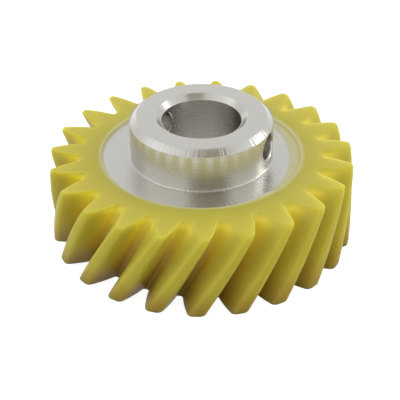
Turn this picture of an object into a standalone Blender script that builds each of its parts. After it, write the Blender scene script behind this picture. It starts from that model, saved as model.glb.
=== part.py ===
"""Worm wheel: a turned aluminium hub with a cross hole, and a helical toothed nylon rim moulded over it.

Metres, +Z up. The wheel lies on its lower face, with its axis on Z and its cross hole along X.
"""
import math

import bmesh
import bpy
from mathutils import Matrix, Vector

# Driving dimensions of the hub
BORE_DIAMETER = 0.0111
BORE_CHAMFER = 0.0008
HUB_WALL = 0.0046
HUB_RISE = 0.0062
HUB_CHAMFER = 0.0009
HUB_FOOT_FILLET = 0.0003
FLANGE_WIDTH = 0.00365
CROSS_HOLE_DIAMETER = 0.0040
CROSS_HOLE_DEPTH = 0.0030

# Driving dimensions of the drive ridges that lock the rim to the hub
RIDGE_COUNT = 18
RIDGE_HEIGHT = 0.0008
RIDGE_CREST = 0.0016
RIDGE_FOOT = 0.0028
RIDGE_SHOULDER = 0.0030

# Driving dimensions of the rim and its teeth
RIM_THICKNESS = 0.0124
FACE_STEP = 0.0002
RIM_WALL = 0.00305
TOOTH_COUNT = 23
TOOTH_DEPTH = 0.00385
TOOTH_LAND = 0.00095
ROOT_FLOOR = 0.00110
TIP_ROUNDING = 0.00040
ROOT_FILLET = 0.00030
HELIX_ANGLE = math.radians(28.2)
TOOTH_CLOCKING = math.radians(11.9)
END_CHAMFER = 0.0004

# Draft of the moulded teeth: what they gain from the rim's upper face down to its lower one
TIP_DRAFT = 0.00030
LAND_DRAFT = 0.00140
ROOT_DRAFT = 0.00040

# Clearance that the moulded rim keeps to the hub
MOULD_GAP = 0.0003

# Fineness of the round forms
TURNED_STEPS = 96
HOLE_SIDES = 32
HELIX_STEPS = 8
CORNER_STEPS = 3

# How far a cutter or a blank runs past what it cuts or bounds
OVERRUN = 0.0010

# Derived sizes
BORE_RADIUS = BORE_DIAMETER / 2
HUB_RADIUS = BORE_RADIUS + HUB_WALL
FLANGE_RADIUS = HUB_RADIUS + FLANGE_WIDTH
RIDGE_RADIUS = FLANGE_RADIUS + RIDGE_HEIGHT
RIDGE_CORE_RADIUS = FLANGE_RADIUS - RIDGE_HEIGHT
ROOT_RADIUS = RIDGE_RADIUS + RIM_WALL
TIP_RADIUS = ROOT_RADIUS + TOOTH_DEPTH
LOWER_TIP_RADIUS = TIP_RADIUS + TIP_DRAFT
PITCH_RADIUS = (ROOT_RADIUS + TIP_RADIUS) / 2
ROOT_WIDTH = 2 * math.pi * ROOT_RADIUS / TOOTH_COUNT - ROOT_FLOOR
FLANGE_TOP = RIM_THICKNESS - FACE_STEP
HUB_TOP = FLANGE_TOP + HUB_RISE
CROSS_HOLE_HEIGHT = HUB_TOP - CROSS_HOLE_DEPTH
TWIST_RATE = math.tan(HELIX_ANGLE) / PITCH_RADIUS


def clear_scene():
    """Remove whatever objects the scene holds."""
    for stray in list(bpy.data.objects):
        bpy.data.objects.remove(stray)


def new_collection(name):
    """Make a collection under the scene."""
    collection = bpy.data.collections.new(name)
    bpy.context.scene.collection.children.link(collection)
    return collection


def principled(name, colour, roughness, metallic):
    """Make a plain Principled material."""
    material = bpy.data.materials.new(name)
    material.use_nodes = True
    shader = material.node_tree.nodes["Principled BSDF"]
    shader.inputs["Base Color"].default_value = (*colour, 1.0)
    shader.inputs["Roughness"].default_value = roughness
    shader.inputs["Metallic"].default_value = metallic
    return material


def mesh_object(name, bm, collection):
    """Give a bmesh an object of its own and free it."""
    mesh = bpy.data.meshes.new(name)
    bm.to_mesh(mesh)
    bm.free()
    obj = bpy.data.objects.new(name, mesh)
    collection.objects.link(obj)
    return obj


def turned(name, profile, collection):
    """Turn a closed (radius, height) profile about Z; it runs down the outer side and up the inner one."""
    bm = bmesh.new()
    points = [bm.verts.new((radius, 0.0, height)) for radius, height in profile]
    for index, point in enumerate(points):
        bm.edges.new((points[index - 1], point))
    obj = mesh_object(name, bm, collection)
    screw = obj.modifiers.new("turn", "SCREW")
    screw.axis = "Z"
    screw.steps = TURNED_STEPS
    screw.render_steps = TURNED_STEPS
    screw.use_merge_vertices = True
    screw.merge_threshold = 0.00001
    return obj


def polar(radius, angle):
    """Point of the XY plane at a radius and an angle."""
    return Vector((radius * math.cos(angle), radius * math.sin(angle)))


def rounded_corner(before, corner, after, radius):
    """Points of the arc that rounds one corner of an outline."""
    to_before = (before - corner).normalized()
    to_after = (after - corner).normalized()
    half_angle = to_before.angle(to_after) / 2
    centre = corner + (to_before + to_after).normalized() * (radius / math.sin(half_angle))
    tangent_length = radius / math.tan(half_angle)
    start = corner + to_before * tangent_length - centre
    end = corner + to_after * tangent_length - centre
    sweep = -start.angle_signed(end)
    arc = []
    for step in range(CORNER_STEPS + 1):
        spoke = start.copy()
        spoke.rotate(Matrix.Rotation(sweep * step / CORNER_STEPS, 2))
        arc.append(centre + spoke)
    return arc


def toothed_outline(count, crest, foot):
    """Outline of straight-sided teeth round a circle.

    crest and foot each hold the radius, the tooth's width there and the corner's rounding.
    """
    corners = []
    for tooth in range(count):
        middle = 2 * math.pi * tooth / count
        for (radius, width, rounding), side in ((foot, -1), (crest, -1), (crest, 1), (foot, 1)):
            corners.append((polar(radius, middle + side * width / 2 / radius), rounding))
    outline = []
    for index, (corner, rounding) in enumerate(corners):
        before = corners[index - 1][0]
        after = corners[(index + 1) % len(corners)][0]
        outline.extend(rounded_corner(before, corner, after, rounding))
    return outline


def swept(name, outlines, bottom, top, twist_rate, steps, collection):
    """Sweep flat outlines up Z, turning them by the twist rate for each metre that they climb."""
    bm = bmesh.new()
    for outline in outlines:
        bm.faces.new([bm.verts.new((point.x, point.y, bottom)) for point in outline])
    bmesh.ops.spin(
        bm,
        geom=[*bm.faces, *bm.edges, *bm.verts],
        axis=(0, 0, 1),
        dvec=(0, 0, (top - bottom) / steps),
        angle=twist_rate * (top - bottom),
        steps=steps,
    )
    bmesh.ops.recalc_face_normals(bm, faces=bm.faces[:])
    return mesh_object(name, bm, collection)


def lofted(name, outlines, heights, collection):
    """Join outlines of equal point counts, one above the other, into a closed body."""
    bm = bmesh.new()
    rings = []
    for outline, height in zip(outlines, heights):
        rings.append([bm.verts.new((point.x, point.y, height)) for point in outline])
    bm.faces.new(rings[0])
    bm.faces.new(rings[-1])
    for lower, upper in zip(rings, rings[1:]):
        for index in range(len(lower)):
            bm.faces.new((lower[index - 1], lower[index], upper[index], upper[index - 1]))
    bmesh.ops.recalc_face_normals(bm, faces=bm.faces[:])
    return mesh_object(name, bm, collection)


def drive_ridges(name, clearance, collection):
    """Ridges round the flange, grown by a clearance where they cut their seats in the rim."""
    crest = (RIDGE_RADIUS + clearance, RIDGE_CREST + 2 * clearance)
    foot = (RIDGE_CORE_RADIUS, RIDGE_FOOT + 2 * clearance)
    outlines = []
    for ridge in range(RIDGE_COUNT):
        middle = 2 * math.pi * ridge / RIDGE_COUNT
        corners = ((foot, -1), (crest, -1), (crest, 1), (foot, 1))
        outlines.append([polar(radius, middle + side * width / 2 / radius) for (radius, width), side in corners])
    bottom = RIDGE_SHOULDER - clearance
    top = FLANGE_TOP - RIDGE_SHOULDER + clearance
    return swept(name, outlines, bottom, top, 0.0, 1, collection)


def combine(obj, other, operation):
    """Join an object with another, or cut or trim it by the other."""
    modifier = obj.modifiers.new(other.name, "BOOLEAN")
    modifier.operation = operation
    modifier.object = other
    other.display_type = "WIRE"
    other.hide_render = True


def finish(obj, material):
    """Settle the modifiers into the mesh, shade its round faces smooth and give it its material."""
    graph = bpy.context.evaluated_depsgraph_get()
    mesh = bpy.data.meshes.new_from_object(obj.evaluated_get(graph))
    obj.modifiers.clear()
    obj.data = mesh
    mesh.name = obj.name
    mesh.shade_smooth()
    mesh.set_sharp_from_angle(angle=math.radians(30))
    mesh.materials.clear()
    mesh.materials.append(material)


def hub_blank(parts):
    """Turned blank of the hub: the chamfered boss, its foot fillet, the flange and the chamfered bore."""
    profile = [
        (BORE_RADIUS, HUB_TOP - BORE_CHAMFER),
        (BORE_RADIUS + BORE_CHAMFER, HUB_TOP),
        (HUB_RADIUS - HUB_CHAMFER, HUB_TOP),
        (HUB_RADIUS, HUB_TOP - HUB_CHAMFER),
    ]
    for step in range(CORNER_STEPS + 1):
        angle = math.pi / 2 * step / CORNER_STEPS
        radius = HUB_RADIUS + HUB_FOOT_FILLET * (1 - math.cos(angle))
        height = FLANGE_TOP + HUB_FOOT_FILLET * (1 - math.sin(angle))
        profile.append((radius, height))
    profile.append((FLANGE_RADIUS, FLANGE_TOP))
    profile.append((FLANGE_RADIUS, 0.0))
    profile.append((BORE_RADIUS + BORE_CHAMFER, 0.0))
    profile.append((BORE_RADIUS, BORE_CHAMFER))
    return turned("hub", profile, parts)


def cross_hole_cutter(cutters):
    """Pin hole that runs along X through both walls of the boss."""
    bm = bmesh.new()
    bmesh.ops.create_cone(
        bm,
        cap_ends=True,
        segments=HOLE_SIDES,
        radius1=CROSS_HOLE_DIAMETER / 2,
        radius2=CROSS_HOLE_DIAMETER / 2,
        depth=2 * (HUB_RADIUS + OVERRUN),
        matrix=Matrix.Translation((0, 0, CROSS_HOLE_HEIGHT)) @ Matrix.Rotation(math.pi / 2, 4, "Y"),
    )
    return mesh_object("cross_hole", bm, cutters)


def make_hub(parts, cutters):
    """Aluminium hub, with the ridges that drive the rim."""
    hub = hub_blank(parts)
    combine(hub, drive_ridges("hub_ridges", 0.0, cutters), "UNION")
    combine(hub, cross_hole_cutter(cutters), "DIFFERENCE")
    finish(hub, principled("turned_aluminium", (0.60, 0.59, 0.57), 0.35, 1.0))


def rim_blank(cutters):
    """Turned ring that bounds the rim: the flange's seat inside, the chamfered tooth ends outside."""
    seat_radius = FLANGE_RADIUS + MOULD_GAP
    upper_edge = TIP_RADIUS - END_CHAMFER
    lower_edge = LOWER_TIP_RADIUS - END_CHAMFER
    outer_edge = LOWER_TIP_RADIUS + OVERRUN
    profile = [
        (seat_radius, RIM_THICKNESS),
        (upper_edge, RIM_THICKNESS),
        (outer_edge, RIM_THICKNESS - (outer_edge - upper_edge)),
        (outer_edge, outer_edge - lower_edge),
        (lower_edge, 0.0),
        (seat_radius, 0.0),
    ]
    return turned("rim_blank", profile, cutters)


def tooth_level(height):
    """Outline of the toothed rim at a height: turned by the helix, and wider by the draft lower down."""
    fall = (RIM_THICKNESS - height) / RIM_THICKNESS
    crest = (TIP_RADIUS + TIP_DRAFT * fall, TOOTH_LAND + LAND_DRAFT * fall, TIP_ROUNDING)
    foot = (ROOT_RADIUS, ROOT_WIDTH + ROOT_DRAFT * fall, ROOT_FILLET)
    turn = Matrix.Rotation(TOOTH_CLOCKING - TWIST_RATE * RIM_THICKNESS * fall, 2)
    return [turn @ point for point in toothed_outline(TOOTH_COUNT, crest, foot)]


def make_rim(parts, cutters):
    """Nylon rim with right-hand helical teeth."""
    rise = (RIM_THICKNESS + 2 * OVERRUN) / HELIX_STEPS
    heights = [rise * step - OVERRUN for step in range(HELIX_STEPS + 1)]
    outlines = [tooth_level(height) for height in heights]
    rim = lofted("gear_rim", outlines, heights, parts)
    combine(rim, rim_blank(cutters), "INTERSECT")
    combine(rim, drive_ridges("ridge_seats", MOULD_GAP, cutters), "DIFFERENCE")
    finish(rim, principled("moulded_nylon", (0.50, 0.46, 0.07), 0.45, 0.0))


def main():
    """Build the worm wheel."""
    clear_scene()
    parts = new_collection("worm_wheel")
    cutters = new_collection("cutters")
    make_hub(parts, cutters)
    make_rim(parts, cutters)


main()
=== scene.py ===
"""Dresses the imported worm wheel: a turned aluminium hub, a moulded nylon rim and the flash between them.

Metres, +Z up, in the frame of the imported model. Laid out as a Blender add-on and run as a script.
"""

import math

import bmesh
import bpy
import numpy as np
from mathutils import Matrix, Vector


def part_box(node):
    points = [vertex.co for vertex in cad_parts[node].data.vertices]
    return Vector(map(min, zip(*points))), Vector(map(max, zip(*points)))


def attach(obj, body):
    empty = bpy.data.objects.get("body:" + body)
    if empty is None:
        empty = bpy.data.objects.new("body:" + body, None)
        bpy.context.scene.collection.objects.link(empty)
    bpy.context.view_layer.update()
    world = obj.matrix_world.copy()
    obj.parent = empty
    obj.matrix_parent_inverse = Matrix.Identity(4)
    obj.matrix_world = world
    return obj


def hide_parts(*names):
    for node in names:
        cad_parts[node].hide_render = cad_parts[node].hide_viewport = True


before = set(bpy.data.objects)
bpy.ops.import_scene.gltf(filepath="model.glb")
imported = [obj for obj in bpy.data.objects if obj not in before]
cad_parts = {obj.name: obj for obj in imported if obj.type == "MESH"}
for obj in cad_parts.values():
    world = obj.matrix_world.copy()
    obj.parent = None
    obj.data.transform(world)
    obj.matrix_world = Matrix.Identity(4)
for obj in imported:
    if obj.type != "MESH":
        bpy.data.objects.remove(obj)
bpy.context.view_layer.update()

bl_info = {
    "name": "Worm wheel",
    "version": (1, 0, 0),
    "blender": (4, 5, 0),
    "location": "3D View > Sidebar > Worm wheel",
    "description": "Dresses a worm wheel with a turned hub and a moulded helical rim",
    "category": "Object",
}

BODY = "root"
HUB_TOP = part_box("hub")[1].z
RIM_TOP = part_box("gear_rim")[1].z
TURN = 2 * math.pi
MM = 0.001
WHITE = (1.0, 1.0, 1.0, 1.0)

# How far the boss's top face lies under that of the CAD hub.
TOP_DROP = 0.08 * MM
# Clearances of the rim's bore off the flange's wall, and of its lip and the film of flash off the flange.
BORE_CLEARANCE = 0.01 * MM
LIP_CLEARANCE = 0.02 * MM
FILM_CLEARANCE = 0.003 * MM


# Sizes and colours

class HubSizes(bpy.types.PropertyGroup):
    """Sizes of the turned hub."""

    top: bpy.props.FloatProperty(
        name="Boss top", description="Height of the boss's top face",
        default=HUB_TOP - TOP_DROP, unit="LENGTH")
    boss_radius: bpy.props.FloatProperty(
        name="Boss radius", description="Outside radius of the boss",
        default=10.08 * MM, unit="LENGTH")
    boss_chamfer: bpy.props.FloatProperty(
        name="Boss chamfer", description="Chamfer of the boss's outer edge",
        default=0.97 * MM, unit="LENGTH")
    bore_radius: bpy.props.FloatProperty(
        name="Bore radius", description="Radius of the shaft bore",
        default=5.58 * MM, unit="LENGTH")
    bore_chamfer: bpy.props.FloatProperty(
        name="Bore chamfer", description="Chamfer of the bore's two mouths",
        default=0.87 * MM, unit="LENGTH")
    foot_fillet: bpy.props.FloatProperty(
        name="Foot fillet", description="Fillet between the boss and the flange",
        default=0.17 * MM, unit="LENGTH")
    flange_radius: bpy.props.FloatProperty(
        name="Flange radius", description="Radius of the flange, which runs on under the rim's lip",
        default=14.4 * MM, unit="LENGTH")
    flange_top: bpy.props.FloatProperty(
        name="Flange top", description="Height of the flange's upper face",
        default=12.15 * MM, unit="LENGTH")
    edge_break: bpy.props.FloatProperty(
        name="Edge break", description="Rounding of the turned edges",
        default=0.06 * MM, unit="LENGTH")
    hole_radius: bpy.props.FloatProperty(
        name="Cross hole radius", description="Radius of the pin hole",
        default=1.88 * MM, unit="LENGTH")
    hole_height: bpy.props.FloatProperty(
        name="Cross hole height", description="Height of the pin hole's axis",
        default=15.4 * MM, unit="LENGTH")
    outer_mouth: bpy.props.FloatProperty(
        name="Outer mouth", description="Rounding of the pin hole's mouths on the boss",
        default=0.28 * MM, unit="LENGTH")
    inner_mouth: bpy.props.FloatProperty(
        name="Inner mouth", description="Rounding of the pin hole's mouths in the bore",
        default=0.14 * MM, unit="LENGTH")


class RimSizes(bpy.types.PropertyGroup):
    """Sizes of the moulded rim and its teeth."""

    thickness: bpy.props.FloatProperty(
        name="Thickness", description="Height of the rim's upper face",
        default=RIM_TOP, unit="LENGTH")
    tip_radius: bpy.props.FloatProperty(
        name="Tip radius", description="Radius of the tooth tips",
        default=21.5 * MM, unit="LENGTH")
    root_radius: bpy.props.FloatProperty(
        name="Root radius", description="Radius of the gap floors",
        default=17.65 * MM, unit="LENGTH")
    teeth: bpy.props.IntProperty(
        name="Teeth", description="Number of teeth", default=23, min=8)
    tooth_land: bpy.props.FloatProperty(
        name="Tooth land", description="Width of a tooth's tip at the upper face",
        default=0.95 * MM, unit="LENGTH")
    root_floor: bpy.props.FloatProperty(
        name="Root floor", description="Width of a gap's floor at the upper face",
        default=1.10 * MM, unit="LENGTH")
    tip_draft: bpy.props.FloatProperty(
        name="Tip draft", description="What the tip radius gains down to the lower face",
        default=0.3 * MM, unit="LENGTH")
    land_draft: bpy.props.FloatProperty(
        name="Land draft", description="What the tooth land gains down to the lower face",
        default=1.4 * MM, unit="LENGTH")
    root_draft: bpy.props.FloatProperty(
        name="Root draft", description="What the tooth's foot gains down to the lower face",
        default=0.4 * MM, unit="LENGTH")
    draft_power: bpy.props.FloatProperty(
        name="Draft power", description="Power of the way down by which the drafts grow", default=0.65)
    flank_bulge: bpy.props.FloatProperty(
        name="Flank bulge", description="How far the flanks bow outwards",
        default=0.08 * MM, unit="LENGTH")
    tip_rounding: bpy.props.FloatProperty(
        name="Tip rounding", description="Rounding between land and flank at the upper face",
        default=0.36 * MM, unit="LENGTH")
    rounding_draft: bpy.props.FloatProperty(
        name="Rounding draft", description="What the tip rounding gains down to the lower face",
        default=0.55 * MM, unit="LENGTH")
    root_fillet: bpy.props.FloatProperty(
        name="Root fillet", description="Fillet between flank and gap floor at the upper face",
        default=0.58 * MM, unit="LENGTH")
    helix_angle: bpy.props.FloatProperty(
        name="Helix angle", description="Right-hand helix angle at the pitch radius",
        default=math.radians(28.2), subtype="ANGLE")
    clocking: bpy.props.FloatProperty(
        name="Clocking", description="Azimuth of a tooth at the upper face, from +X",
        default=math.radians(11.95), subtype="ANGLE")
    edge_rounding: bpy.props.FloatProperty(
        name="Edge rounding", description="How far the rounded edges reach in at the teeth's tips",
        default=0.20 * MM, unit="LENGTH")
    edge_drop: bpy.props.FloatProperty(
        name="Edge drop", description="How far the upper edge's rounding reaches down the teeth",
        default=0.80 * MM, unit="LENGTH")
    gap_run_out: bpy.props.FloatProperty(
        name="Gap run-out", description="How far the upper edge's rounding reaches in over the gaps",
        default=1.0 * MM, unit="LENGTH")
    seat_radius: bpy.props.FloatProperty(
        name="Seat radius", description="Mean radius of the rim's inner edge on the flange",
        default=14.1 * MM, unit="LENGTH")
    seat_wander: bpy.props.FloatProperty(
        name="Seat wander", description="How far the inner edge lies off centre",
        default=0.2 * MM, unit="LENGTH")
    seat_bearing: bpy.props.FloatProperty(
        name="Seat bearing", description="Azimuth towards which the inner edge lies off centre",
        default=math.radians(-96), subtype="ANGLE")


class FlashSizes(bpy.types.PropertyGroup):
    """Sizes of the film of moulding flash on the flange."""

    least_width: bpy.props.FloatProperty(
        name="Least width", description="Width of the film where it is narrowest",
        default=0.30 * MM, unit="LENGTH")
    crescent: bpy.props.FloatProperty(
        name="Crescent", description="What the width gains at its widest place",
        default=1.30 * MM, unit="LENGTH")
    crescent_azimuth: bpy.props.FloatProperty(
        name="Crescent azimuth", description="Azimuth of the widest place, from +X",
        default=math.radians(24), subtype="ANGLE")


class Looks(bpy.types.PropertyGroup):
    """Colours of the wheel and its floor, as sRGB hex codes. The gap and low nylon colours are painted light
    and shade.
    """

    aluminium: bpy.props.StringProperty(
        name="Aluminium", description="Turned aluminium", default="CCCAC4")
    nylon: bpy.props.StringProperty(
        name="Nylon", description="Moulded nylon", default="C4BA48")
    # Painted light: high in the gaps the nylon is painted lighter than the body, against the shade there.
    nylon_painted_gap_light: bpy.props.StringProperty(
        name="Gap nylon", description="Nylon high in the gaps between the teeth", default="F4E45E")
    # Painted shade: lower in the gaps the nylon is painted browner.
    nylon_painted_gap_shade: bpy.props.StringProperty(
        name="Deep nylon", description="Nylon low in the gaps between the teeth", default="D2B44C")
    # Painted shade: the teeth's lower ends are painted darker and browner.
    nylon_painted_low_shade: bpy.props.StringProperty(
        name="Low nylon", description="Nylon of the teeth's lower ends", default="AE923A")
    flash: bpy.props.StringProperty(
        name="Flash", description="Thin nylon that the metal shines through", default="CFCBA0")
    flash_cloud: bpy.props.StringProperty(
        name="Flash clouds", description="Clouds in the thin nylon", default="C9C596")
    floor: bpy.props.StringProperty(
        name="Floor", description="Paper of the floor, where it lights the wheel", default="9A9A98")


# Nodes and meshes

def linear(code):
    """Linear colour with alpha of an sRGB hex code."""
    channels = np.array([int(code[i:i + 2], 16) for i in (0, 2, 4)]) / 255
    values = np.where(channels <= 0.04045, channels / 12.92, ((channels + 0.055) / 1.055) ** 2.4)
    return (*values.tolist(), 1.0)


def feed(tree, node, inputs):
    """Give each named input of a node its value, or a link from the output socket that feeds it."""
    for name, value in inputs.items():
        if isinstance(value, bpy.types.NodeSocket):
            tree.links.new(value, node.inputs[name])
        else:
            node.inputs[name].default_value = value


def add_node(tree, kind, settings=None, inputs=None):
    """Add a shader node with its settings and inputs, and return its outputs."""
    node = tree.nodes.new(kind)
    for name, value in (settings or {}).items():
        setattr(node, name, value)
    feed(tree, node, inputs or {})
    return node.outputs


def new_material(name):
    """A node material, its node tree and its Principled shader."""
    material = bpy.data.materials.new(name)
    material.use_nodes = True
    return material, material.node_tree, material.node_tree.nodes["Principled BSDF"]


def grid_quads(rows, columns, first):
    """Corner numbers of the quads of a grid of points, row after row."""
    corner = np.arange(rows - 1)[:, None] * columns + np.arange(columns - 1)[None, :] + first
    return np.stack([corner, corner + 1, corner + columns + 1, corner + columns], axis=-1).reshape(-1, 4)


def closed_piece(name, grids, material, sharp_angle, attribute=None):
    """Join grids of points into one closed mesh with its UV map.

    Each grid is (points, uv): arrays of rows by columns. Where an attribute is named, its values are the
    grid's third array. Points that meet are merged, and the closed shell's faces are turned outwards.
    """
    merge_distance = 0.0005 * MM
    sliver = 0.0002 * MM
    points = np.concatenate([grid[0].reshape(-1, 3) for grid in grids])
    uvs = np.concatenate([grid[1].reshape(-1, 2) for grid in grids])
    quads = []
    first = 0
    for grid in grids:
        rows, columns = grid[0].shape[:2]
        quads.append(grid_quads(rows, columns, first))
        first += rows * columns
    quads = np.concatenate(quads)
    mesh = bpy.data.meshes.new(name)
    mesh.from_pydata(points.tolist(), [], quads.tolist())
    layer = mesh.uv_layers.new(name="turned")
    layer.data.foreach_set("uv", uvs[quads.reshape(-1)].reshape(-1))
    if attribute:
        values = np.concatenate([grid[2].reshape(-1) for grid in grids])
        mesh.attributes.new(attribute, "FLOAT", "POINT").data.foreach_set("value", values)
    bm = bmesh.new()
    bm.from_mesh(mesh)
    bmesh.ops.remove_doubles(bm, verts=bm.verts[:], dist=merge_distance)
    bmesh.ops.dissolve_degenerate(bm, edges=bm.edges[:], dist=sliver)
    bmesh.ops.recalc_face_normals(bm, faces=bm.faces[:])
    open_edges = sum(1 for edge in bm.edges if len(edge.link_faces) != 2)
    if open_edges:
        raise RuntimeError(f"{name} has {open_edges} open edges")
    bm.to_mesh(mesh)
    bm.free()
    mesh.shade_smooth()
    mesh.set_sharp_from_angle(angle=sharp_angle)
    mesh.materials.append(material)
    piece = bpy.data.objects.new(name, mesh)
    bpy.context.scene.collection.objects.link(piece)
    return piece


def rounded_path(corners, radii, arc_points, closed):
    """Arcs of a path through rounded corners, with the outward normal of every point.

    Each corner becomes an arc of its radius that is tangent to both its sides; a corner of radius
    zero stays one place, with normals that turn from one side's to the other's. Outwards is to the
    right of the path.
    """
    corners = np.asarray(corners, float)
    radii = np.asarray(radii, float)
    into = corners - np.roll(corners, 1, axis=0)
    out = np.roll(corners, -1, axis=0) - corners
    into /= np.linalg.norm(into, axis=1, keepdims=True)
    out /= np.linalg.norm(out, axis=1, keepdims=True)
    if not closed:
        into[0] = out[0]
        out[-1] = into[-1]
    start_angle = np.arctan2(into[:, 1], into[:, 0])
    bend = np.arctan2(into[:, 0] * out[:, 1] - into[:, 1] * out[:, 0], (into * out).sum(1))
    tangent = radii * np.tan(np.abs(bend) / 2)
    start = corners - into * tangent[:, None]
    signed_radii = np.sign(bend) * radii
    centre = start + np.stack([-into[:, 1], into[:, 0]], 1) * signed_radii[:, None]
    share = np.linspace(0, 1, arc_points)
    heading = start_angle[:, None] + bend[:, None] * share[None, :]
    normals = np.stack([np.sin(heading), -np.cos(heading)], -1)
    points = centre[:, None, :] + normals * signed_radii[:, None, None]
    return points, normals


def with_sides(points, normals, side_points, closed, bulge=None):
    """Points of the arcs of a rounded path, with evenly spaced points put on the sides between them.

    Where a bulge is given for each side, its points lie on a parabola that stands out by so much.
    """
    ends = points[:, -1]
    starts = np.roll(points[:, 0], -1, axis=0)
    share = np.linspace(0, 1, side_points + 2)[1:-1]
    sides = ends[:, None] + (starts - ends)[:, None] * share[None, :, None]
    side_normals = np.repeat(normals[:, -1:], side_points, axis=1)
    if bulge is not None:
        sides = sides + side_normals * (bulge[:, None] * 4 * share * (1 - share))[..., None]
    path = np.concatenate([points, sides], axis=1).reshape(-1, 2)
    path_normals = np.concatenate([normals, side_normals], axis=1).reshape(-1, 2)
    if not closed:
        path = path[:-side_points]
        path_normals = path_normals[:-side_points]
    return path, path_normals


# Turned hub

# Columns of the hub round its axis. The patch of wall round each mouth of the cross hole is so many columns
# wide on either side of the hole and so many rows high, with so many rings, which crowd towards the hole.
# The hole's tube has so many rows in each rounded mouth and in its wall.
HUB_COLUMNS = 256
BOSS_PATCH = (12, 24)
BORE_PATCH = (18, 12)
PATCH_RINGS = 10
RING_CROWDING = 0.8
TUBE_MOUTH_ROWS = 6
TUBE_WALL_ROWS = 10

# Strength of the chatter marks, from 0 to 1: even on the walls of boss and bore, and growing on the flange
# from an inner radius over a width.
WALL_CHATTER = 0.12
FLANGE_CHATTER_START = 11.6 * MM
FLANGE_CHATTER_WIDTH = 2.2 * MM


def turned_band(path, start_length, azimuths, chatter):
    """Surface of revolution: every (radius, height) point of a path turned through the azimuths.

    The UV map holds the share of a turn, and the start length plus the length along the path in mm.
    """
    radius = path[:, :1]
    height = path[:, 1:]
    points = np.stack(
        np.broadcast_arrays(radius * np.cos(azimuths), radius * np.sin(azimuths), height), axis=-1)
    steps = np.linalg.norm(np.diff(path, axis=0), axis=1)
    length = start_length + np.concatenate([[0.0], np.cumsum(steps)])
    uv = np.stack(np.broadcast_arrays(azimuths / TURN, length[:, None] / MM), axis=-1)
    return points, uv, np.broadcast_to(chatter[:, None], points.shape[:2])


def round_hole(radius, low, high, hole_radius, hole_height, reach, steps_round, steps_up, side, start):
    """Patch of a cylinder's wall round a cross hole, as rings that go from a rectangle to the hole.

    Every point is a (y, z) place on the wall, with x worked out from the wall's radius. A ring is the
    straight mix of the rectangle's edge and the circle of the hole along the same bearings.
    """
    across = np.linspace(reach, -reach, steps_round + 1)
    upright = np.linspace(low, high, steps_up + 1)
    edge_azimuth = np.concatenate([
        np.full(steps_up, reach),
        across[:-1],
        np.full(steps_up, -reach),
        across[::-1][:-1],
        [reach],
    ])
    edge_height = np.concatenate([
        upright[:-1],
        np.full(steps_round, high),
        upright[::-1][:-1],
        np.full(steps_round, low),
        [low],
    ])
    edge_y = radius * np.sin(edge_azimuth)
    bearing = np.unwrap(np.arctan2(edge_height - hole_height, edge_y))
    circle_y = hole_radius * np.cos(bearing)
    circle_z = hole_height + hole_radius * np.sin(bearing)
    share = (np.linspace(0, 1, PATCH_RINGS + 1) ** RING_CROWDING)[:, None]
    y = edge_y * (1 - share) + circle_y * share
    z = edge_height * (1 - share) + circle_z * share
    x = np.sqrt(radius ** 2 - y ** 2)
    points = np.stack([side * x, side * y, z], axis=-1)
    uv = np.stack([(np.arctan2(y, x) + start) / TURN, z / MM], axis=-1)
    return (points, uv, np.full(x.shape, WALL_CHATTER)), bearing


def hole_tube(sizes, outer_bearing, inner_bearing, side):
    """Wall of the cross hole: a circle carried along X, flared to a rounded mouth at both ends.

    The mouths are quarter circles. The bearing round the hole goes evenly from that of the boss's patch to
    that of the bore's patch.
    """
    bend = np.linspace(0, math.pi / 2, TUBE_MOUTH_ROWS)
    outer_mouth = sizes.outer_mouth
    inner_mouth = sizes.inner_mouth
    wall = np.linspace(0, 1, TUBE_WALL_ROWS + 2)[1:-1]
    along = np.concatenate([0 * bend, wall, 0 * bend + 1])[:, None]
    flare = np.concatenate([
        outer_mouth * (1 - np.sin(bend)),
        0 * wall,
        inner_mouth * (1 - np.sin(bend[::-1])),
    ])[:, None]
    sink_outer = np.concatenate([outer_mouth * (1 - np.cos(bend)), 0 * wall, 0 * bend])[:, None]
    sink_inner = np.concatenate([0 * bend, 0 * wall, inner_mouth * (1 - np.cos(bend[::-1]))])[:, None]
    bearing = outer_bearing * (1 - along) + inner_bearing * along
    radius = sizes.hole_radius + flare
    y = radius * np.cos(bearing)
    z = sizes.hole_height + radius * np.sin(bearing)
    x_outer = np.sqrt(sizes.boss_radius ** 2 - y ** 2) - sink_outer
    x_inner = np.sqrt(sizes.bore_radius ** 2 - y ** 2) + sink_inner
    wall_y = sizes.hole_radius * np.cos(bearing)
    wall_outer = np.sqrt(sizes.boss_radius ** 2 - wall_y ** 2) - outer_mouth
    wall_inner = np.sqrt(sizes.bore_radius ** 2 - wall_y ** 2) + inner_mouth
    x_wall = wall_outer * (1 - along) + wall_inner * along
    x = np.where(along <= 0, x_outer, np.where(along >= 1, x_inner, x_wall))
    points = np.stack([side * x, side * y, z], axis=-1)
    uv = np.stack([bearing / TURN, x / MM], axis=-1)
    return points, uv, np.zeros(x.shape)


def cap_chatter(sizes, path):
    """Strength of the chatter marks along the cap: a bell of the fourth power over the boss's chamfer."""
    middle = sizes.boss_radius - sizes.boss_chamfer / 2
    half_width = 0.45 * sizes.boss_chamfer
    return np.exp(-((path[:, 0] - middle) / half_width) ** 4)


def base_chatter(sizes, path):
    """Strength of the chatter marks along the base, none but on the flange.

    It grows outwards in a straight line, and a narrow bell of it lies at the boss's foot.
    """
    foot_radius = sizes.boss_radius + 0.1 * MM
    foot_width = 0.3 * MM
    height_margin = 0.01 * MM
    radius, height = path.T
    growing = np.clip((radius - FLANGE_CHATTER_START) / FLANGE_CHATTER_WIDTH, 0, 1)
    foot = np.exp(-((radius - foot_radius) / foot_width) ** 2)
    return np.maximum(growing, foot) * (height > sizes.flange_top - height_margin)


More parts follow.
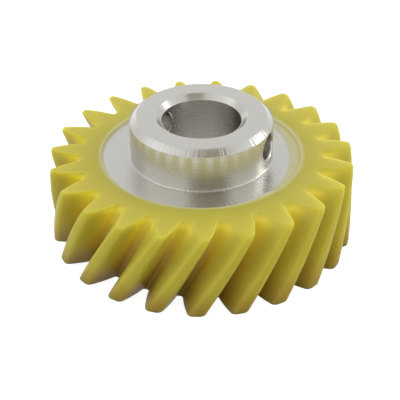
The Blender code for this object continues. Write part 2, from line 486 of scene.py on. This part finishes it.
def hub_grids(sizes):
    """All surfaces of the hub: the cap, the base, and the walls of boss and bore with the cross hole.

    Cap and base are rounded paths turned round the axis. Each wall is two patches round the hole's mouths
    and two arcs between them, and the hole's two tubes lead from wall to wall.
    """
    # How far the boss's wall begins above the foot's fillet, and the bore's wall under the cross hole.
    wall_margin = 0.05 * MM
    bore_margin = 0.6 * MM
    # Where the base begins in the pattern of grooves, well away from the cap and the walls.
    base_start = 50 * MM
    step = TURN / HUB_COLUMNS
    boss = sizes.boss_radius
    bore = sizes.bore_radius
    boss_mouth = sizes.hole_radius + sizes.outer_mouth
    bore_mouth = sizes.hole_radius + sizes.inner_mouth
    hole_top = sizes.hole_height + boss_mouth
    boss_high = (hole_top + sizes.top - sizes.boss_chamfer) / 2
    boss_low = sizes.flange_top + sizes.foot_fillet + wall_margin
    bore_high = (hole_top + sizes.top - sizes.bore_chamfer) / 2
    bore_low = sizes.hole_height - sizes.hole_radius - bore_margin
    cap_corners = [
        (boss, boss_high),
        (boss, sizes.top - sizes.boss_chamfer),
        (boss - sizes.boss_chamfer, sizes.top),
        (bore + sizes.bore_chamfer, sizes.top),
        (bore, sizes.top - sizes.bore_chamfer),
        (bore, bore_high),
    ]
    base_corners = [
        (bore, bore_low),
        (bore, sizes.bore_chamfer),
        (bore + sizes.bore_chamfer, 0.0),
        (sizes.flange_radius, 0.0),
        (sizes.flange_radius, sizes.flange_top),
        (boss, sizes.flange_top),
        (boss, boss_low),
    ]
    cap_radii = [0, *[sizes.edge_break] * 4, 0]
    base_radii = [0, *[sizes.edge_break] * 4, sizes.foot_fillet, 0]
    cap_arcs = rounded_path(cap_corners, cap_radii, arc_points=5, closed=False)
    base_arcs = rounded_path(base_corners, base_radii, arc_points=7, closed=False)
    cap, _ = with_sides(*cap_arcs, side_points=6, closed=False)
    base, _ = with_sides(*base_arcs, side_points=6, closed=False)
    azimuths = np.arange(HUB_COLUMNS + 1) * step
    grids = [
        turned_band(cap, boss_high - boss_low, azimuths, cap_chatter(sizes, cap)),
        turned_band(base, base_start, azimuths, base_chatter(sizes, base)),
    ]
    walls = [
        (boss, boss_low, boss_high, boss_mouth, *BOSS_PATCH),
        (bore, bore_low, bore_high, bore_mouth, *BORE_PATCH),
    ]
    for side, start in ((1, 0.0), (-1, math.pi)):
        bearings = []
        for radius, low, high, mouth, half_columns, rows in walls:
            patch, bearing = round_hole(
                radius, low, high, mouth, sizes.hole_height, half_columns * step, 2 * half_columns, rows,
                side, start)
            bearings.append(bearing)
            arc = start + np.arange(half_columns, HUB_COLUMNS // 2 - half_columns + 1) * step
            upright = np.stack([np.full(rows + 1, radius), np.linspace(low, high, rows + 1)], axis=1)
            grids.append(patch)
            grids.append(turned_band(upright, low, arc, np.full(rows + 1, WALL_CHATTER)))
        grids.append(hole_tube(sizes, *bearings, side))
    return grids


# Moulded rim

# Rows of the rim's section: where the faces' rows lie on the way to the inner edge, and how many rows a
# rounded edge, the flank and the bore have.
FACE_ROWS = (1.0, 0.85, 0.7, 0.55, 0.4, 0.25, 0.12, 0.03)
EDGE_ROWS = 9
FLANK_ROWS = 24
BORE_ROWS = 5


def tooth_outline(sizes, fall):
    """Closed outline of all teeth at one height, with its normals.

    Four corners a tooth: foot, tip, tip, foot, joined by sides and rounded by arcs. A side between foot
    and tip bows outwards by a parabola. Fall goes from 0 at the upper face to 1 at the lower one.
    """
    middle = TURN * np.arange(sizes.teeth) / sizes.teeth + sizes.clocking
    tip_radius = sizes.tip_radius + sizes.tip_draft * fall
    land = sizes.tooth_land + sizes.land_draft * fall
    floor = sizes.root_floor - sizes.root_draft * fall
    foot = TURN * sizes.root_radius / sizes.teeth - floor
    radius = np.array([sizes.root_radius, tip_radius, tip_radius, sizes.root_radius])
    width = np.array([foot, land, land, foot])
    side = np.array([-1, -1, 1, 1])
    azimuth = (middle[:, None] + (side * width / 2 / radius)[None, :]).reshape(-1)
    radii = np.tile(radius, sizes.teeth)
    corners = np.stack([radii * np.cos(azimuth), radii * np.sin(azimuth)], axis=1)
    fillet = sizes.root_fillet * floor / sizes.root_floor
    tip_rounding = sizes.tip_rounding + sizes.rounding_draft * fall
    rounding = np.tile([fillet, tip_rounding, tip_rounding, fillet], sizes.teeth)
    bulge = np.tile([sizes.flank_bulge, 0.0, sizes.flank_bulge, 0.0], sizes.teeth)
    arcs = rounded_path(corners, rounding, arc_points=6, closed=True)
    return with_sides(*arcs, side_points=5, closed=True, bulge=bulge)


def seat_edge(sizes, azimuth):
    """Radius of the rim's inner edge on the flange: a circle that lies a little off centre."""
    return sizes.seat_radius + sizes.seat_wander * np.cos(azimuth - sizes.seat_bearing)


def rim_section(sizes, extra):
    """Rows round the rim's section as arrays: offset, inward, height, and share of the way in.

    The rows are the upper face, its rounded edge, the flank, the lower rounded edge and the lower face. The
    offset goes against the outline's normal, the inward step goes to the axis, and the share is of the way
    to the inner edge. The lower edge is a quarter circle. The upper one is a quarter ellipse, which reaches
    down by the edge drop and in by the edge rounding, each with a column's extra length added.
    """
    top = sizes.thickness
    edge = sizes.edge_rounding
    drop = sizes.edge_drop + extra
    face = np.array(FACE_ROWS)[:, None]
    turn = np.linspace(math.pi / 2, 0, EDGE_ROWS)[:, None]
    down = np.linspace(0, 1, FLANK_ROWS + 2)[1:-1, None]
    flat = np.ones_like(extra)
    offset = flat * np.concatenate([
        edge + 0 * face,
        edge * (1 - np.cos(turn)),
        0 * down,
        edge * (1 - np.cos(turn[::-1])),
        edge + 0 * face,
    ])
    inward = extra * np.concatenate([
        1 + 0 * face,
        1 - np.cos(turn),
        0 * down,
        0 * turn,
        0 * face,
    ])
    height = np.concatenate([
        flat * (top + 0 * face),
        top - drop * (1 - np.sin(turn)),
        (top - drop) * (1 - down) + edge * down,
        flat * edge * (1 - np.sin(turn[::-1])),
        flat * (0 * face),
    ])
    share = np.concatenate([face, 0 * turn, 0 * down, 0 * turn, face[::-1]])
    return offset, inward, height, share


def rim_grid(hub, sizes):
    """The whole rim as one closed grid: rows round the ring's section, columns along the tooth outline.

    The outline goes from that of the upper face to that of the lower one with a power of the way down, and
    turns with height by the helix. The upper edge's extra rounding grows with the square of the depth into
    a gap. The faces' rows go straight along the azimuth to the ring's inner edge, and the last rows are the
    rim's bore and the lip that laps over the flange.
    """
    top = sizes.thickness
    upper, upper_normals = tooth_outline(sizes, 0.0)
    lower, lower_normals = tooth_outline(sizes, 1.0)
    depth = (sizes.tip_radius - np.linalg.norm(upper, axis=1)) / (sizes.tip_radius - sizes.root_radius)
    extra = (sizes.gap_run_out - sizes.edge_rounding) * np.clip(depth, 0, 1) ** 2
    offset, inward, height, share = rim_section(sizes, extra[None, :])
    fall = (((top - height) / top) ** sizes.draft_power)[..., None]
    normals = upper_normals * (1 - fall) + lower_normals * fall
    flat = upper * (1 - fall) + lower * fall
    flat = flat * (1 - inward / np.linalg.norm(flat, axis=-1))[..., None] - normals * offset[..., None]
    flat = np.concatenate([flat, flat[:, :1]], axis=1)
    height = np.concatenate([height, height[:, :1]], axis=1)
    pitch_radius = (sizes.tip_radius + sizes.root_radius) / 2
    turn_rate = math.tan(sizes.helix_angle) / pitch_radius
    radius = np.linalg.norm(flat, axis=-1)
    azimuth = np.unwrap(np.arctan2(flat[..., 1], flat[..., 0]), axis=1)
    azimuth = azimuth + turn_rate * (height - top)
    bore_radius = hub.flange_radius + BORE_CLEARANCE
    inner = np.where(height < top / 2, bore_radius, seat_edge(sizes, azimuth))
    radius = radius * (1 - share) + inner * share
    way_up = np.linspace(0, 1, BORE_ROWS + 1)[1:, None]
    bore_azimuth = azimuth[-1] * (1 - way_up) + azimuth[0] * way_up
    lip_height = hub.flange_top + LIP_CLEARANCE
    lip = seat_edge(sizes, azimuth[:1])
    radius = np.concatenate([radius, bore_radius + 0 * bore_azimuth, lip, lip])
    azimuth = np.concatenate([azimuth, bore_azimuth, azimuth[:1], azimuth[:1]])
    height = np.concatenate([
        height,
        lip_height * way_up + 0 * bore_azimuth,
        lip_height + 0 * lip,
        top + 0 * lip,
    ])
    points = np.stack([radius * np.cos(azimuth), radius * np.sin(azimuth), height], axis=-1)
    rows, columns = radius.shape
    u, v = np.meshgrid(np.linspace(0, 1, columns), np.linspace(0, 1, rows))
    return points, np.stack([u, v], axis=-1)


# Moulding flash

# Section of the film from under its outer edge, along the flange to its inner edge and back over its sloping
# top: the share of the width from the inner edge, and the height above the flange in mm.
FILM_SECTION = (
    (1, 0), (0, 0), (0, 0.02), (0.1, 0.04), (0.25, 0.06), (0.5, 0.09), (0.75, 0.14), (1, 0.22), (1, 0),
)
# Waves of the film's inner edge: height, number round the ring, and phase.
FILM_WAVES = ((0.03 * MM, 7, 0.0), (0.02 * MM, 17, 1.0))
FILM_OVERLAP = 0.03 * MM
FILM_COLUMNS = 720


def flash_grid(hub, rim, sizes):
    """Thin film of flash: a crescent ring that lies on the flange, thin at its wavy inner edge.

    Its width falls from the widest place with the twelfth power of the cosine of half the angle. The
    section is carried round the rim's inner edge, which it overlaps a little.
    """
    azimuth = np.linspace(0, TURN, FILM_COLUMNS + 1)
    crescent = sizes.crescent * ((1 + np.cos(azimuth - sizes.crescent_azimuth)) / 2) ** 6
    ripple = sum(height * np.sin(count * azimuth + phase) for height, count, phase in FILM_WAVES)
    outer = seat_edge(rim, azimuth) + FILM_OVERLAP
    inner = outer - (sizes.least_width + crescent + ripple)
    share, lift = np.array(FILM_SECTION, float).T[:, :, None]
    radii = inner + (outer - inner) * share
    heights = hub.flange_top + FILM_CLEARANCE + lift * MM + 0 * azimuth
    points = np.stack([radii * np.cos(azimuth), radii * np.sin(azimuth), heights], axis=-1)
    return points, np.stack(np.broadcast_arrays(azimuth / TURN, share), axis=-1)


# Materials

def aluminium_material(looks):
    """Aluminium, turned on a lathe and left bare.

    Fine grooves run round the axis and stretch its reflections across them, into the bright and dark
    sectors of a turned face. Where the tool trembled, chatter marks break the flange and the boss's
    chamfer into short rays.
    """
    material, tree, shader = new_material("turned aluminium")
    # Real grooves lie 0.05 to 0.1 mm apart. They are drawn coarser, with 0.14 mm between them, because a
    # pixel of the picture covers about 0.13 mm.
    grooves_per_mm = 7.0
    groove_depth = 0.004 * MM
    # The marks lie about 0.5 mm apart on the flange, and are drawn deeper than real ones so that they show.
    marks_per_turn = 170.0
    mark_depth = 0.045 * MM
    uv = add_node(tree, "ShaderNodeUVMap", {"uv_map": "turned"})["UV"]
    place = add_node(tree, "ShaderNodeSeparateXYZ", inputs={"Vector": uv})
    groove = add_node(tree, "ShaderNodeTexNoise", {"noise_dimensions": "1D"}, {
        "W": place["Y"], "Scale": grooves_per_mm, "Detail": 3.0, "Roughness": 0.6})["Fac"]
    along = add_node(tree, "ShaderNodeMath", {"operation": "MULTIPLY"}, {
        0: place["X"], 1: marks_per_turn})["Value"]
    chatter = add_node(tree, "ShaderNodeTexNoise", {"noise_dimensions": "1D"}, {
        "W": along, "Scale": 1.0, "Detail": 1.5, "Roughness": 0.5})["Fac"]
    strength = add_node(tree, "ShaderNodeAttribute", {"attribute_name": "chatter"})["Fac"]
    marks = add_node(tree, "ShaderNodeMath", {"operation": "MULTIPLY"}, {
        0: chatter, 1: strength})["Value"]
    grooved = add_node(tree, "ShaderNodeBump", inputs={
        "Strength": 0.03, "Distance": groove_depth, "Height": groove})["Normal"]
    marked = add_node(tree, "ShaderNodeBump", inputs={
        "Strength": 1.0, "Distance": mark_depth, "Height": marks, "Normal": grooved})["Normal"]
    roughness = add_node(tree, "ShaderNodeMapRange", inputs={
        "Value": groove, "From Min": 0.3, "From Max": 0.7, "To Min": 0.26, "To Max": 0.30})["Result"]
    tangent = add_node(tree, "ShaderNodeTangent", {
        "direction_type": "UV_MAP", "uv_map": "turned"})["Tangent"]
    feed(tree, shader, {
        "Base Color": linear(looks.aluminium),
        "Metallic": 1.0,
        "Roughness": roughness,
        "Anisotropic": 0.7,
        "Anisotropic Rotation": 0.25,
        "Tangent": tangent,
        "Normal": marked,
    })
    return material


def nylon_material(looks, rim):
    """Nylon, injection moulded in its natural yellow.

    It has a satin, faintly uneven skin. Light sinks some millimetres into it, so it glows softly and bright
    edges run into the shade. Its colour holds painted light and shade: high in the gaps between the teeth it
    is painted lighter, against their shade, and further down the gaps and at the teeth's lower ends it is
    painted browner.
    """
    material, tree, shader = new_material("moulded nylon")
    # The skin's waves are 0.9 mm long, as wide as a tooth's tip.
    skin_wave = 0.9 * MM
    skin_depth = 0.02 * MM
    light_depth = 4.5 * MM
    coords = add_node(tree, "ShaderNodeTexCoord")["Object"]
    height = add_node(tree, "ShaderNodeSeparateXYZ", inputs={"Vector": coords})["Z"]
    across = add_node(tree, "ShaderNodeVectorMath", {"operation": "MULTIPLY"}, {
        0: coords, 1: (1, 1, 0)})["Vector"]
    radius = add_node(tree, "ShaderNodeVectorMath", {"operation": "LENGTH"}, {0: across})["Value"]
    top = rim.thickness
    seat = rim.seat_radius
    # Smooth fades: what each one follows, where it begins and ends, and its value at these two places.
    fades = {}
    for name, follows, begin, end, first, last in (
        ("into the gap", radius, rim.tip_radius - 1.0 * MM, rim.root_radius, 0.0, 1.0),
        ("under the upper face", height, top, top - 0.8 * MM, 0.0, 1.0),
        ("over the lower face", height, 0.0, 0.6 * MM, 0.0, 1.0),
        ("down the gap", height, top - 2.0 * MM, top - 9.0 * MM, 0.0, 1.0),
        ("lower end", height, 5.0 * MM, 0.5 * MM, 0.0, 0.9),
        ("thin seat", radius, seat + 0.15 * MM, seat + 0.75 * MM, 0.7, 0.0),
        ("thick body", radius, seat + 0.2 * MM, seat + 1.4 * MM, 0.0, 1.0),
    ):
        fades[name] = add_node(
            tree, "ShaderNodeMapRange", {"interpolation_type": "SMOOTHSTEP", "label": name}, {
                "Value": follows, "From Min": begin, "From Max": end,
                "To Min": first, "To Max": last})["Result"]
    # Mask of the painted light and shade in the gaps: into the gap, under the upper face and over the lower
    # face.
    below_top = add_node(tree, "ShaderNodeMath", {"operation": "MULTIPLY"}, {
        0: fades["into the gap"], 1: fades["under the upper face"]})["Value"]
    painted_gap_mask = add_node(tree, "ShaderNodeMath", {"operation": "MULTIPLY"}, {
        0: below_top, 1: fades["over the lower face"]})["Value"]
    # The gaps are painted lighter high up, as painted light against their shade, and browner further down,
    # as painted shade.
    colour = add_node(tree, "ShaderNodeMix", {"data_type": "RGBA"}, {
        "Factor": fades["down the gap"],
        "A": linear(looks.nylon_painted_gap_light),
        "B": linear(looks.nylon_painted_gap_shade)})["Result"]
    colour = add_node(tree, "ShaderNodeMix", {"data_type": "RGBA"}, {
        "Factor": painted_gap_mask, "A": linear(looks.nylon), "B": colour})["Result"]
    # The teeth's lower ends are painted darker, as painted shade; the thin seat takes the pale colour of
    # thin nylon over the metal.
    for fade, tint in (("lower end", looks.nylon_painted_low_shade), ("thin seat", looks.flash)):
        colour = add_node(tree, "ShaderNodeMix", {"data_type": "RGBA"}, {
            "Factor": fades[fade], "A": colour, "B": linear(tint)})["Result"]
    skin = add_node(tree, "ShaderNodeTexNoise", inputs={
        "Vector": coords, "Scale": 1 / skin_wave, "Detail": 2.0})["Fac"]
    normal = add_node(tree, "ShaderNodeBump", inputs={
        "Strength": 0.3, "Distance": skin_depth, "Height": skin})["Normal"]
    feed(tree, shader, {
        "Base Color": colour,
        "Roughness": 0.5,
        "IOR": 1.53,
        "Specular IOR Level": 0.25,
        "Subsurface Weight": fades["thick body"],
        "Subsurface Radius": (1.0, 0.9, 0.3),
        "Subsurface Scale": light_depth,
        "Normal": normal,
    })
    return material


def flash_material(looks):
    """Nylon flash, squeezed thin over the metal in the mould: pale, because the metal shines through.

    It is faintly cloudy, and takes the nylon's colour towards its outer edge, where it grows thicker and
    joins the rim.
    """
    material, tree, shader = new_material("nylon flash")
    cloud_size = 1.5 * MM
    uv = add_node(tree, "ShaderNodeUVMap", {"uv_map": "turned"})["UV"]
    share = add_node(tree, "ShaderNodeSeparateXYZ", inputs={"Vector": uv})["Y"]
    joined = add_node(tree, "ShaderNodeMapRange", {"interpolation_type": "SMOOTHSTEP"}, {
        "Value": share, "From Min": 0.55, "From Max": 1.1})["Result"]
    coords = add_node(tree, "ShaderNodeTexCoord")["Object"]
    clouds = add_node(tree, "ShaderNodeTexNoise", inputs={
        "Vector": coords, "Scale": 1 / cloud_size, "Detail": 2.0})["Fac"]
    thin = add_node(tree, "ShaderNodeMix", {"data_type": "RGBA"}, {
        "Factor": clouds, "A": linear(looks.flash), "B": linear(looks.flash_cloud)})["Result"]
    colour = add_node(tree, "ShaderNodeMix", {"data_type": "RGBA"}, {
        "Factor": joined, "A": thin, "B": linear(looks.nylon)})["Result"]
    feed(tree, shader, {"Base Color": colour, "Roughness": 0.35, "IOR": 1.53})
    return material


# Stage

FLOOR_HALF_WIDTH = 3.0
FLOOR_GLOW = 0.9

# Light round the wheel, as soft boxes on an even sky: the azimuth of the middle and the half width, the
# lowest and the highest elevation, the softness of the edges (all in degrees), and the light that it adds.
BASE_LEVEL = 0.87
SOFT_BOXES = (
    ("wall on the left", -132, 40, -5, 48, 3, (0.44, 0.44, 0.44)),
    ("dark side round the camera, low", -58, 31, -5, 27, 3, (-0.04, -0.07, -0.16)),
    ("dark side round the camera", -55, 28, 27, 50, 3, (-0.65, -0.70, -0.82)),
    ("dark ceiling towards the camera", -45, 29, 50, 70, 3, (-0.46, -0.49, -0.56)),
    ("wall on the right", 8, 28, -5, 30, 5, (0.64, 0.64, 0.62)),
    ("window on the right", 33, 11, 3, 34, 3, (0.36, 0.36, 0.36)),
    ("edge of the window", 40, 3, 2, 34, 1, (6.0, 6.0, 6.0)),
    ("ceiling on the right", 62, 18, 38, 60, 6, (0.20, 0.20, 0.20)),
    ("strip behind", 118, 32, 5, 17, 3, (0.7, 0.7, 0.7)),
)

# The camera stands at an azimuth, elevation and distance from a centre, and looks at a target near it.
CAMERA_CENTRE = (0.0, 0.0, 12.4 * MM)
CAMERA_AZIMUTH = math.radians(-68.0)
CAMERA_ELEVATION = math.radians(31.544)
CAMERA_DISTANCE = 154.634 * MM
CAMERA_TARGET = (-0.2225 * MM, -0.0899 * MM, 3.661 * MM)
CAMERA_ROLL = math.radians(-0.205)
CAMERA_LENS = 97.805
CAMERA_SENSOR = 36.0
CAMERA_SHIFT_Y = 0.0048
CAMERA_CLIP = (0.01, 20.0)


def make_floor(scene):
    """White floor: it shows white to the camera and in gloss, keeps the shadow, and lights little."""
    half = FLOOR_HALF_WIDTH
    corners = [(-half, -half, 0), (half, -half, 0), (half, half, 0), (-half, half, 0)]
    mesh = bpy.data.meshes.new("floor")
    mesh.from_pydata(corners, [], [(0, 1, 2, 3)])
    floor = bpy.data.objects.new("floor", mesh)
    scene.collection.objects.link(floor)
    material = bpy.data.materials.new("floor paper")
    material.use_nodes = True
    tree = material.node_tree
    tree.nodes.clear()
    rays = add_node(tree, "ShaderNodeLightPath")
    seen = rays["Is Camera Ray"]
    for kind in ("Is Glossy Ray", "Is Transmission Ray"):
        seen = add_node(tree, "ShaderNodeMath", {"operation": "MAXIMUM"}, {0: seen, 1: rays[kind]})["Value"]
    colour = linear(scene.wheel_looks.floor)
    paper = add_node(tree, "ShaderNodeBsdfDiffuse", inputs={"Color": colour})["BSDF"]
    glow = add_node(tree, "ShaderNodeEmission", inputs={"Color": WHITE, "Strength": FLOOR_GLOW})["Emission"]
    bright = add_node(tree, "ShaderNodeAddShader", inputs={0: paper, 1: glow})["Shader"]
    surface = add_node(tree, "ShaderNodeMixShader", inputs={"Fac": seen, 1: paper, 2: bright})["Shader"]
    add_node(tree, "ShaderNodeOutputMaterial", inputs={"Surface": surface})
    mesh.materials.append(material)


def make_world(scene):
    """Studio round the wheel: an even sky, to which every soft box adds its light inside its own bounds.

    The share of a box's light is a smooth step of the angle off its middle, times one at its lowest and one
    at its highest elevation. The camera sees plain white instead.
    """
    world = bpy.data.worlds.new("studio")
    scene.world = world
    world.use_nodes = True
    tree = world.node_tree
    tree.nodes.clear()
    direction = add_node(tree, "ShaderNodeTexCoord")["Generated"]
    height = add_node(tree, "ShaderNodeSeparateXYZ", inputs={"Vector": direction})["Z"]
    horizontal = add_node(tree, "ShaderNodeVectorMath", {"operation": "MULTIPLY"}, {
        0: direction, 1: (1, 1, 0)})["Vector"]
    heading = add_node(tree, "ShaderNodeVectorMath", {"operation": "NORMALIZE"}, {0: horizontal})["Vector"]
    total = add_node(tree, "ShaderNodeCombineXYZ", inputs={
        "X": BASE_LEVEL, "Y": BASE_LEVEL, "Z": BASE_LEVEL})["Vector"]
    for label, *angles, light in SOFT_BOXES:
        middle, half, low, high, soft = np.radians(angles).tolist()
        turned = add_node(tree, "ShaderNodeVectorMath", {"operation": "DOT_PRODUCT", "label": label}, {
            0: heading, 1: (math.cos(middle), math.sin(middle), 0)})["Value"]
        # The value of each step is the most that the next one reaches, which multiplies the three.
        inside = 1.0
        for measure, dark, lit in (
            (turned, math.cos(half + soft), math.cos(half - soft)),
            (height, math.sin(low - soft), math.sin(low + soft)),
            (height, math.sin(high + soft), math.sin(high - soft)),
        ):
            inside = add_node(tree, "ShaderNodeMapRange", {"interpolation_type": "SMOOTHSTEP"}, {
                "Value": measure, "From Min": dark, "From Max": lit, "To Max": inside})["Result"]
        total = add_node(tree, "ShaderNodeVectorMath", {"operation": "MULTIPLY_ADD"}, {
            0: inside, 1: light, 2: total})["Vector"]
    seen = add_node(tree, "ShaderNodeLightPath")["Is Camera Ray"]
    studio = add_node(tree, "ShaderNodeBackground", inputs={"Color": total, "Strength": 1.0})["Background"]
    white = add_node(tree, "ShaderNodeBackground", inputs={"Color": WHITE, "Strength": 1.0})["Background"]
    surface = add_node(tree, "ShaderNodeMixShader", inputs={"Fac": seen, 1: studio, 2: white})["Shader"]
    add_node(tree, "ShaderNodeOutputWorld", inputs={"Surface": surface})


def make_camera(scene):
    """Camera on the photograph's line of sight.

    Its place is the centre plus the distance along the direction of its azimuth and elevation. Its axes
    come from the line to the target and the upright, turned by the roll.
    """
    away = np.array([
        math.cos(CAMERA_ELEVATION) * math.cos(CAMERA_AZIMUTH),
        math.cos(CAMERA_ELEVATION) * math.sin(CAMERA_AZIMUTH),
        math.sin(CAMERA_ELEVATION),
    ])
    place = np.array(CAMERA_CENTRE) + CAMERA_DISTANCE * away
    ahead = np.array(CAMERA_TARGET) - place
    ahead /= np.linalg.norm(ahead)
    right = np.cross(ahead, (0, 0, 1))
    right /= np.linalg.norm(right)
    up = np.cross(right, ahead)
    matrix = np.eye(4)
    matrix[:3, 0] = math.cos(CAMERA_ROLL) * right + math.sin(CAMERA_ROLL) * up
    matrix[:3, 1] = math.cos(CAMERA_ROLL) * up - math.sin(CAMERA_ROLL) * right
    matrix[:3, 2] = -ahead
    matrix[:3, 3] = place
    data = bpy.data.cameras.new("camera")
    data.lens = CAMERA_LENS
    data.sensor_width = CAMERA_SENSOR
    data.shift_y = CAMERA_SHIFT_Y
    data.clip_start, data.clip_end = CAMERA_CLIP
    camera = bpy.data.objects.new("camera", data)
    # Blender takes nested lists column by column.
    camera.matrix_world = matrix.T.tolist()
    scene.collection.objects.link(camera)
    scene.camera = camera


# Operators and panel

class WORMWHEEL_OT_hub(bpy.types.Operator):
    """Make the turned aluminium hub with its bore and cross hole"""

    bl_idname = "wormwheel.hub"
    bl_label = "Turned hub"

    def execute(self, context):
        scene = context.scene
        hub = closed_piece(
            "turned_hub", hub_grids(scene.wheel_hub), aluminium_material(scene.wheel_looks),
            sharp_angle=math.radians(35), attribute="chatter")
        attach(hub, BODY)
        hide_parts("hub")
        return {"FINISHED"}


class WORMWHEEL_OT_rim(bpy.types.Operator):
    """Make the moulded nylon rim with its helical teeth"""

    bl_idname = "wormwheel.rim"
    bl_label = "Moulded rim"

    def execute(self, context):
        scene = context.scene
        rim = closed_piece(
            "moulded_rim", [rim_grid(scene.wheel_hub, scene.wheel_rim)],
            nylon_material(scene.wheel_looks, scene.wheel_rim), sharp_angle=math.radians(50))
        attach(rim, BODY)
        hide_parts("gear_rim")
        return {"FINISHED"}


class WORMWHEEL_OT_flash(bpy.types.Operator):
    """Make the thin film of moulding flash that laps over the flange"""

    bl_idname = "wormwheel.flash"
    bl_label = "Moulding flash"

    def execute(self, context):
        scene = context.scene
        film = closed_piece(
            "flash_film", [flash_grid(scene.wheel_hub, scene.wheel_rim, scene.wheel_flash)],
            flash_material(scene.wheel_looks), sharp_angle=math.radians(35))
        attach(film, BODY)
        return {"FINISHED"}


class WORMWHEEL_OT_stage(bpy.types.Operator):
    """Make the floor, the studio light and the camera"""

    bl_idname = "wormwheel.stage"
    bl_label = "Stage"

    def execute(self, context):
        make_floor(context.scene)
        make_world(context.scene)
        make_camera(context.scene)
        context.scene.view_settings.view_transform = "Standard"
        return {"FINISHED"}


class WORMWHEEL_PT_panel(bpy.types.Panel):
    """Sizes, colours and steps of the worm wheel"""

    bl_idname = "WORMWHEEL_PT_panel"
    bl_label = "Worm wheel"
    bl_space_type = "VIEW_3D"
    bl_region_type = "UI"
    bl_category = "Worm wheel"

    def draw(self, context):
        for group_name in GROUPS:
            group = getattr(context.scene, group_name)
            column = self.layout.column(align=True)
            for name in group.__annotations__:
                column.prop(group, name)
        for operator in STEPS:
            self.layout.operator(operator.bl_idname)


GROUPS = {"wheel_hub": HubSizes, "wheel_rim": RimSizes, "wheel_flash": FlashSizes, "wheel_looks": Looks}
STEPS = (WORMWHEEL_OT_hub, WORMWHEEL_OT_rim, WORMWHEEL_OT_flash, WORMWHEEL_OT_stage)
CLASSES = (*GROUPS.values(), *STEPS, WORMWHEEL_PT_panel)


def register():
    """Register the classes and hang the property groups on the scene."""
    for cls in CLASSES:
        bpy.utils.register_class(cls)
    for name, group in GROUPS.items():
        setattr(bpy.types.Scene, name, bpy.props.PointerProperty(type=group))


def unregister():
    """Take the property groups off the scene and unregister the classes."""
    for name in GROUPS:
        delattr(bpy.types.Scene, name)
    for cls in reversed(CLASSES):
        bpy.utils.unregister_class(cls)


def main():
    register()
    bpy.ops.wormwheel.hub()
    bpy.ops.wormwheel.rim()
    bpy.ops.wormwheel.flash()
    bpy.ops.wormwheel.stage()


if __name__ == "__main__":
    main()
